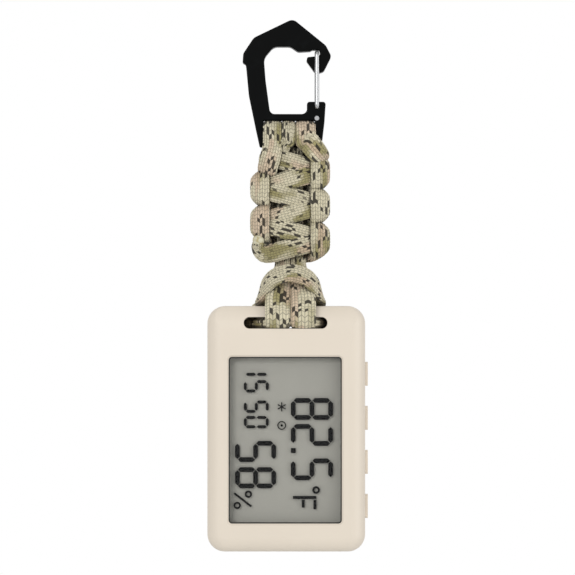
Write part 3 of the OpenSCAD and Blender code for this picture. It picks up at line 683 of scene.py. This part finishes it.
class METER_OT_lanyard(bpy.types.Operator):
    """The braided stretch: a zigzag strand, a strand that wraps its turns, the core and the melted ends"""
    bl_idname = "meter.lanyard"
    bl_label = "Braided stretch"

    def execute(self, context):
        sizes = context.scene.meter_cord
        nylon = cord_nylon(sizes)
        context.scene["nylon"] = nylon.name
        w, t = sizes.width / MM, sizes.thickness / MM
        bar_z = bar_height()
        x = WEAVE_X
        top = WEAVE_HIGH[2]
        wz = w - 0.2
        left = [(-2.4, 1.2, top - 4.6, 0, 1, 0, w, t), (-3.4, 3.3, top - 1.6, 0, 1, 0, w, t)]
        left += over_bar(-3.8, -3.8, bar_z, w, t)
        left += [
            (-4.0, -4.1, top + 1.2, 0, -1, 0, w, t),
            (-4.5, -4.7, top - 1.2, -0.1, -1, 0, w + 0.3, t),
            (-5.0, -4.6, top - 3.2, -0.2, -1, -0.2, w + 0.2, t),
            (-5.4, -3.0, top - 5.2, -0.3, -0.6, -0.7, w, t - 0.2),
            (-4.9, -0.2, top - 5.9, -0.2, 0, -1, w - 0.6, t - 0.6),
            (-3.0, 2.6, top - 4.9, 0, 1, -0.3, w - 0.6, t - 0.5),
            (-4.2, 2.6, top - 2.6, 0, 1, 0, w - 1.2, t - 0.5),
            (-6.0, 1.4, top - 1.6, -0.6, 0.6, 0.3, w - 1.8, t - 0.4),
            (-6.7, -0.6, top - 1.5, -0.9, -0.4, 0.1, w - 2.0, t - 0.3),
            (-5.6, -2.0, top - 1.7, -0.4, -0.9, 0, w - 1.0, t - 0.2),
        ]
        left += zigzag_rows(wz, t)
        # the last crossing turns up at the left and ends in a bead
        low = apex(5)
        left += [
            (x - 7.6, -1.9, low + 1.0, -0.4, -0.9, -0.2, w - 0.6, t),
            (x - 9.0, -1.7, low + 2.4, -0.6, -0.8, 0, w - 1.4, t + 0.3),
            (x - 9.1, -2.2, low + 4.0, -0.5, -0.9, 0, w - 2.2, t + 0.2),
        ]
        strand_a = strand("braid_zigzag", left, sizes, nylon, 0.0)
        right = [(6.0, 1.4, top - 4.6, 0, 1, 0, w, t), (6.2, 3.4, top - 1.6, 0, 1, 0, w, t)]
        right += over_bar(5.2, 5.5, bar_z, w + 0.3, t)
        right += [
            (6.5, -4.0, top + 2.9, 0.1, -1, 0, w + 0.5, t),
            (7.9, -4.2, top + 1.2, 0.2, -1, 0, w + 0.5, t),
            (9.2, -3.8, top - 0.4, 0.4, -0.9, -0.2, w + 0.2, t),
            (10.2, -2.2, top - 1.5, 0.7, -0.5, -0.5, w - 0.4, t - 0.2),
            (9.6, 0.6, top - 2.0, 0.3, 0.3, -0.9, w - 1.0, t - 0.4),
            (6.6, 2.4, top - 2.2, 0, 0.9, -0.5, w - 1.0, t - 0.4),
            (3.4, 1.2, top - 4.4, 0, 1, 0, w - 1.4, t - 0.4),
        ]
        strand_c = strand("bar_strand_right", right, sizes, nylon, 317.0)
        right = [(2.0, 1.0, apex(0) + 1.4, 0, 1, 0.3, w - 1.0, t - 0.4)]
        right += ear_rows(1, apex(0) - 0.3, w, t)
        for k in range(1, 5):
            s = 1 if k % 2 == 0 else -1
            rows = ear_rows(s, apex(k), w, t)
            right += rows if k < 4 else rows[:-1]
        right += [
            (x + 1.4, 3.6, apex(4) - 3.2, 0, 1, 0, w, t - 0.3),
            (x - 2.6, 3.7, apex(4) - 1.6, 0, 1, 0, w, t - 0.3),
            (x - 6.0, 3.2, apex(4) - 0.4, -0.2, 1, 0, w - 1.4, t),
        ]
        strand_b = strand("braid_ears", right, sizes, nylon, 217.0)
        middle = [(1.6, 0.9, top - 5.0, 0, 1, 0, w, t), (0.9, 3.2, top - 1.6, 0, 1, 0, w - 0.4, t)]
        middle += over_bar(0.8, 0.5, bar_z, 4.0, t)
        middle += [
            (-0.3, -3.3, top + 2.6, 0, -1, 0, 3.4, t),
            (-1.0, -2.9, top + 0.4, 0, -1, 0, 3.4, t),
            (-1.0, -1.8, top - 2.4, 0, -1, 0, 3.3, 2.6),
            (-0.9, -0.2, top - 6.0, 0, -1, 0, 3.2, 3.0),
            (-0.9, 0.0, top - 14.0, 0, -1, 0, 3.2, 3.0),
            (-0.9, 0.0, WEAVE_LOW[2] + 6, 0, -1, 0, 3.2, 3.0),
            (-0.9, 0.0, WEAVE_LOW[2] + 0.6, 0, -1, 0, 3.4, 2.6),
        ]
        core_a = strand("core_left", middle, sizes, nylon, 431.0)
        other = [
            (3.3, 0.2, top + 1.5, 0, -1, 0, 3.0, 2.8),
            (3.1, 0.0, top - 3.0, 0, -1, 0, 3.2, 3.0),
            (3.1, 0.0, top - 14.0, 0, -1, 0, 3.2, 3.0),
            (3.1, 0.0, WEAVE_LOW[2] + 6, 0, -1, 0, 3.2, 3.0),
            (3.1, 0.0, WEAVE_LOW[2] + 0.6, 0, -1, 0, 3.4, 2.6),
        ]
        core_b = strand("core_right", other, sizes, nylon, 593.0)
        melted = melted_nylon()
        bead = [
            (-1.9, 0.35), (-1.7, 0.95), (-1.2, 1.45), (-0.5, 1.7),
            (0.2, 1.65), (0.8, 1.35), (1.2, 0.85), (1.35, 0.3)]
        bead_a = lathe("cord_end_front", bead, (x - 9.0, -2.45, low + 5.0), (0.05, -0.25, 1), melted, 40)
        bead_b = lathe("cord_end_back", bead, (x - 6.9, 3.2, apex(4) - 0.2), (-1, 0.1, 0.2), melted, 40)
        for piece in (strand_a, strand_b, strand_c, core_a, core_b):
            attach(piece, "lanyard")
        for piece in (bead_a, bead_b):
            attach(piece, "lanyard")
        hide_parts("cobra_weave")
        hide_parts("bar_loops")
        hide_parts("core_cord")
        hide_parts("cord_ends")
        return {"FINISHED"}


class METER_OT_hitch(bpy.types.Operator):
    """The cord's hitch on the case's rail: two standing parts, their wraps, and the arch over them"""
    bl_idname = "meter.hitch"
    bl_label = "Hitch"

    def execute(self, context):
        sizes = context.scene.meter_cord
        nylon = bpy.data.materials[context.scene["nylon"]]
        t = sizes.thickness / MM
        w = sizes.width / MM
        wraps_low, wraps_high = span("hitch_wraps")
        x = (wraps_low[0] + wraps_high[0]) / 2
        rail = wraps_high[2] - CORD_T
        slot = wraps_low[2] + CORD_T
        neck = span("hitch_legs")[1][2]
        half = [
            (2.15, 0.0, neck + 1.4, 0, -1, 0, 4.5, 2.6),
            (2.15, -0.3, neck - 0.9, 0, -1, 0, 4.5, 2.5),
            (2.5, -1.6, neck - 3.4, 0, -1, 0.3, 5.2, t),
            (3.1, -3.7, neck - 7.0, 0, -1, 0.35, 6.4, t),
            (3.55, -5.5, neck - 10.4, 0, -1, 0.4, 7.0, t),
            (3.6, -6.9, rail - 1.2, 0, -1, 0.3, 7.0, t),
            (3.6, -7.9, slot + 0.3, 0, -1, 0, 7.0, t),
            (3.6, -7.6, slot - 0.9, 0, -0.8, -0.6, 7.0, t),
            (3.6, -6.0, slot - 1.7, 0, -0.2, -1, 7.5, 3.3),
            (4.3, -3.0, slot - 1.75, 0, 0, -1, 9.2, 3.8),
            (5.3, 2.0, slot - 1.75, 0, 0, -1, 9.4, 3.4),
            (6.4, 5.8, slot - 1.7, 0, 0.2, -1, 9.4, 3.2),
            (6.8, 7.6, slot - 1.2, 0, 0.8, -0.6, 6.8, t),
            (6.9, 8.0, slot + 0.2, 0.05, 1, 0, 6.4, t),
            (7.0, 7.2, rail - 1.0, 0.2, 1, 0.3, 6.0, t),
            (7.4, 5.6, rail + 0.7, 0.4, 0.7, 0.6, 5.4, t),
            (7.9, 3.2, rail + 1.9, 0.6, 0.2, 0.75, 5.0, t),
            (8.0, 0.4, rail + 2.9, 0.77, -0.3, 0.55, 4.8, t),
            (7.6, -2.5, rail + 4.4, 0.77, -0.5, 0.4, 4.8, t),
            (6.5, -4.7, rail + 6.3, 0.62, -0.72, 0.32, 4.8, t),
            (4.8, -6.2, rail + 8.0, 0.42, -0.84, 0.34, 4.9, t),
            (2.5, -7.1, rail + 9.0, 0.2, -0.9, 0.38, 5.0, t),
        ]
        top = (0.0, -7.4, rail + 9.4, 0, -0.9, 0.42, 5.0, t)
        # inside the slot and behind the rail the left turn lies further out than the right one
        further = {10: 1.3, 11: 2.8, 12: 2.8, 13: 2.3, 14: 1.2}
        rows = [(x - r[0] - further.get(i, 0), r[1], r[2], -r[3], *r[4:]) for i, r in enumerate(half)]
        rows.append((x + top[0], *top[1:]))
        rows += [(x + r[0], r[1], r[2], r[3], *r[4:]) for r in reversed(half)]
        data, _ = through(rows)
        turn = np.argmax(data[:, 2] < rail + 1.6) / len(data)
        whole = [strand("hitch_leg_left", rows, sizes, nylon, 811.0, part=(0, turn)),
                 strand("hitch_loop", rows, sizes, nylon, 811.0, part=(turn, 1 - turn)),
                 strand("hitch_leg_right", rows, sizes, nylon, 811.0, part=(1 - turn, 1))]
        for piece in (whole[0], whole[2]):
            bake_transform(piece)
        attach(whole[1], "meter")
        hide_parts("hitch_legs")
        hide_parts("hitch_wraps", "hitch_bight")
        return {"FINISHED"}


# ---------------------------------------------------------------- case and display
class METER_OT_case(bpy.types.Operator):
    """Moulded case, buttons, screws, battery door and everything inside"""
    bl_idname = "meter.case"
    bl_label = "Case"

    def execute(self, context):
        looks = context.scene.meter_case
        shell = moulded_plastic("case_abs", looks.case)
        for node in ("front_shell", "back_shell", "battery_door"):
            dress(node, shell)
        # painted light: the buttons get the case's colour made 5 % lighter, a painted highlight of the light
        # falling on the case's side
        painted_light_shell = moulded_plastic("button_abs_painted_light", tuple(min(1.0, c * 1.05) for c in looks.case), 0.38)
        for node in ("button_1", "button_2", "button_3", "button_4"):
            dress(node, painted_light_shell)
        dress("window_gasket", dull("gasket_rubber", "#2b2b29", 0.55))
        dress("door_seal", frame["nodes"]["window_gasket"].material_slots[0].material)
        dress("case_screws", drawn_steel("screw_steel", "#a9abad", 0.3))
        dress("display_holder", moulded_plastic("holder_abs", "#e6e4de", 0.5))
        dress("zebra_strips", dull("zebra_rubber", "#3a3a3a", 0.6, "#d8d4cc", 6000.0))
        dress("circuit_board", dull("solder_mask", "#1e5a38", 0.35, "#17482d", 900.0))
        dress("board_parts", dull("black_epoxy", "#1b1b1d", 0.45))
        dress("humidity_sensor", dull("sensor_body", "#22242a", 0.4))
        dress("side_switches", dull("switch_body", "#26272a", 0.45))
        dress("vent_membrane", dull("ptfe_membrane", "#e9e9e6", 0.8))
        dress("coin_cell", drawn_steel("cell_steel", "#c4c5c4", 0.28))
        contact = drawn_steel("contact_metal", "#c9b98a", 0.3)
        for node in ("cell_contact_minus", "cell_contact_plus"):
            dress(node, contact)
        return {"FINISHED"}


class METER_OT_display(bpy.types.Operator):
    """Clear window, the display's glasses, its dark segments and the film behind them"""
    bl_idname = "meter.display"
    bl_label = "Display"

    def execute(self, context):
        looks = context.scene.meter_case
        dress("display_window", clear_sheet("clear_acrylic", share=0.35))
        low, high = span("lcd_front_glass", "lcd_rear_glass")
        seal = dull("lcd_glass_edge", "#8f948c", 0.3, "#858a82", 2500.0, height=0.000002)
        edge = rim("lcd_glass_edge", low, high, 0.55, 0.12, seal)
        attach(edge, "meter")
        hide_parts("lcd_front_glass", "lcd_rear_glass")
        dress("lcd_segments", dull("lcd_ink", "#0d0e0e", 0.6, "#0a0b0b", 3000.0, height=0.0, shine=0.05))
        mottle = tuple(c * 0.985 for c in looks.film)
        dress("lcd_reflector", dull("reflector_film", looks.film, 0.75, mottle, 9000.0, height=0.000003))
        return {"FINISHED"}


# ---------------------------------------------------------------- stage
def area_light(name, where, target, size, power):
    """A square soft light at where that faces target, both in metres."""
    data = bpy.data.lights.new(name, "AREA")
    data.shape = "SQUARE"
    data.size = size
    data.energy = power
    obj = bpy.data.objects.new(name, data)
    obj.location = where
    way = np.array(target) - np.array(where)
    obj.rotation_euler = Vector(way).to_track_quat("-Z", "Y").to_euler()
    bpy.context.collection.objects.link(obj)
    return obj


def stage_sheet(name, corners, mat):
    """A flat sheet of the stage, in metres."""
    sheet = bpy.data.objects.new(name, bpy.data.meshes.new(name))
    sheet.data.from_pydata(corners, [], [[0, 1, 2, 3]])
    sheet.data.materials.append(mat)
    bpy.context.collection.objects.link(sheet)


class METER_OT_stage(bpy.types.Operator):
    """Pale floor, white surroundings, soft lights and the camera"""
    bl_idname = "meter.stage"
    bl_label = "Stage"

    def execute(self, context):
        scene = context.scene
        low, high = CAD_BOX
        mid_z = (low[2] + high[2]) / 2
        floor_mat, t, out = material("floor_paper")
        fibre = noise(t, 40.0, 3.0)
        paper = blend_colour(t, fibre, linear("#f7f7f6"), linear("#f3f3f2"))
        surface(t, out, {"Base Color": paper, "Roughness": 0.9})
        z = low[2] - 0.6
        stage_sheet("floor", [(-2, -2, z), (2, -2, z), (2, 2, z), (-2, 2, z)], floor_mat)
        world = bpy.data.worlds.new("white_room")
        scene.world = world
        world.use_nodes = True
        world.node_tree.nodes["Background"].inputs[0].default_value = (1, 1, 1, 1)
        world.node_tree.nodes["Background"].inputs[1].default_value = 0.6
        wall_mat, wt, wall_out = material("light_wall")
        glow = add(wt, "ShaderNodeEmission", {"Color": (1, 1, 1, 1), "Strength": 1.0})
        wt.links.new(glow.outputs[0], wall_out.inputs["Surface"])
        half, back, top = 0.9, 1.6, 1.0
        corners = [(-half, back, z), (half, back, z), (half, back, top), (-half, back, top)]
        stage_sheet("light_wall", corners, wall_mat)
        target = (0, 0, mid_z)
        area_light("key", (-0.4, -0.8, mid_z + 0.25), target, 0.4, 2.3)
        area_light("fill", (0.75, -0.5, mid_z + 0.05), target, 0.6, 1.9)
        scene.view_settings.view_transform = "Standard"
        camera = bpy.data.cameras.new("camera")
        camera.sensor_width = 36.0
        span_mm, distance = 163.3, 0.9
        camera.lens = 36.0 * distance / (span_mm * MM)
        camera.clip_start = 0.01
        camera.clip_end = 50.0
        cam = bpy.data.objects.new("camera", camera)
        front_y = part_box("front_shell")[0][1]
        cam.location = (0.00035, front_y - distance, low[2] + 0.0753)
        cam.rotation_euler = (math.pi / 2, 0, 0)
        context.collection.objects.link(cam)
        scene.camera = cam
        return {"FINISHED"}


STEPS = ("carabiner", "lanyard", "hitch", "case", "display", "stage")


class METER_PT_pieces(bpy.types.Panel):
    """Lists the pieces"""
    bl_idname = "METER_PT_pieces"
    bl_label = "Weather meter"
    bl_space_type = "VIEW_3D"
    bl_region_type = "UI"
    bl_category = "Weather meter"

    def draw(self, context):
        for group in (context.scene.meter_cord, context.scene.meter_case):
            for name in group.bl_rna.properties.keys():
                if name not in ("rna_type", "name"):
                    self.layout.prop(group, name)
        for name in STEPS:
            self.layout.operator("meter." + name)


CLASSES = (
    CordSizes, CaseLooks, METER_OT_carabiner, METER_OT_lanyard, METER_OT_hitch,
    METER_OT_case, METER_OT_display, METER_OT_stage, METER_PT_pieces)


def register():
    """Makes the groups of settings, the operators and the panel known."""
    for c in CLASSES:
        bpy.utils.register_class(c)
    bpy.types.Scene.meter_cord = bpy.props.PointerProperty(type=CordSizes)
    bpy.types.Scene.meter_case = bpy.props.PointerProperty(type=CaseLooks)


def unregister():
    """Takes them away again."""
    del bpy.types.Scene.meter_case
    del bpy.types.Scene.meter_cord
    for c in reversed(CLASSES):
        bpy.utils.unregister_class(c)


def main():
    """Makes every piece."""
    register()
    for name in STEPS:
        getattr(bpy.ops.meter, name)()


if __name__ == "__main__":
    main()
